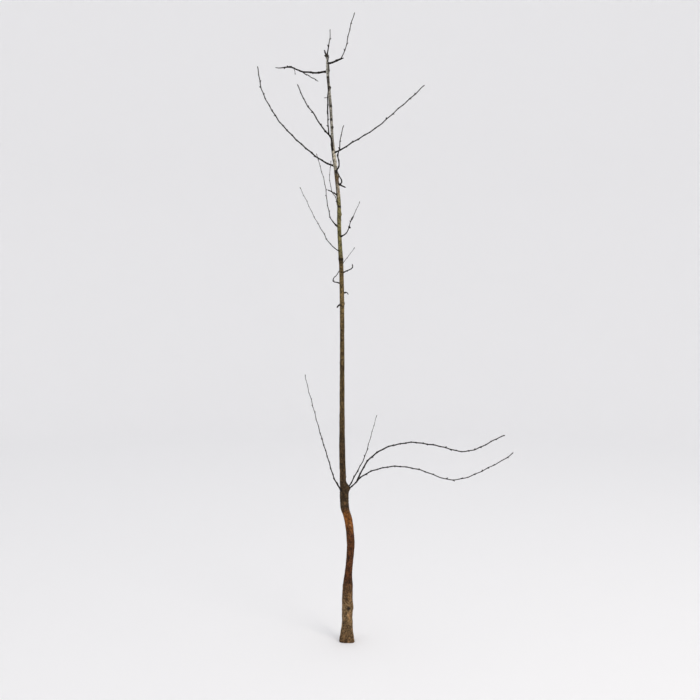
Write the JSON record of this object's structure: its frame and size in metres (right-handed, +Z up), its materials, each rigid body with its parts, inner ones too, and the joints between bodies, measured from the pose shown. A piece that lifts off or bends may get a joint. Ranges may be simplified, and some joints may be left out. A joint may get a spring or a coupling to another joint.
{
  "type": "wild pear tree",
  "caption": "Young bare wild pear tree: a slim leaning trunk with a low whorl of long boughs, upright side shoots, short thorny spurs and a pruned top.",
  "frame": {"origin": "middle of the flat cut under the trunk, at ground level", "axes": "+Z up along the height of the tree, +X to the right and +Y to the back of the pictured view"},
  "size_m": [0.8028, 0.5009, 1.9105],
  "materials": {
    "trunk_bark": "dull fissured bark",
    "bough_bark": "smooth dark bark",
    "twig_bark": "satin young bark with buds"
  },
  "bodies": {
    "root": {"trunk": "trunk_bark", "base_left_bough": "bough_bark", "base_back_bough": "bough_bark", "base_lower_bough": "bough_bark", "base_upper_bough": "bough_bark", "left_low_bough": "bough_bark", "left_middle_bough": "bough_bark", "right_middle_bough": "bough_bark", "right_upright_bough": "bough_bark", "left_long_bough": "bough_bark", "right_long_bough": "bough_bark", "left_fork_bough": "bough_bark", "top_left_bough": "bough_bark", "top_right_bough": "bough_bark", "top_stub": "bough_bark", "top_spur": "bough_bark", "left_spur_upper": "bough_bark", "right_spur_upper": "bough_bark", "right_spur_hook": "bough_bark", "right_spur_middle": "bough_bark", "left_spur_hook": "bough_bark", "right_spur_lower": "bough_bark", "left_spur_lower": "bough_bark", "base_left_twigs": "twig_bark", "base_back_twigs": "twig_bark", "base_lower_twigs": "twig_bark", "base_upper_twigs": "twig_bark", "left_low_twigs": "twig_bark", "left_middle_twigs": "twig_bark", "right_middle_twigs": "twig_bark", "right_upright_twigs": "twig_bark", "left_long_twigs": "twig_bark", "right_long_twigs": "twig_bark", "left_fork_twigs": "twig_bark", "top_left_twigs": "twig_bark", "left_thin_twigs": "twig_bark", "right_thin_twigs": "twig_bark", "fork_upright_twigs": "twig_bark", "top_right_upright_twigs": "twig_bark", "leader_twigs": "twig_bark"}
  },
  "joints": []
}
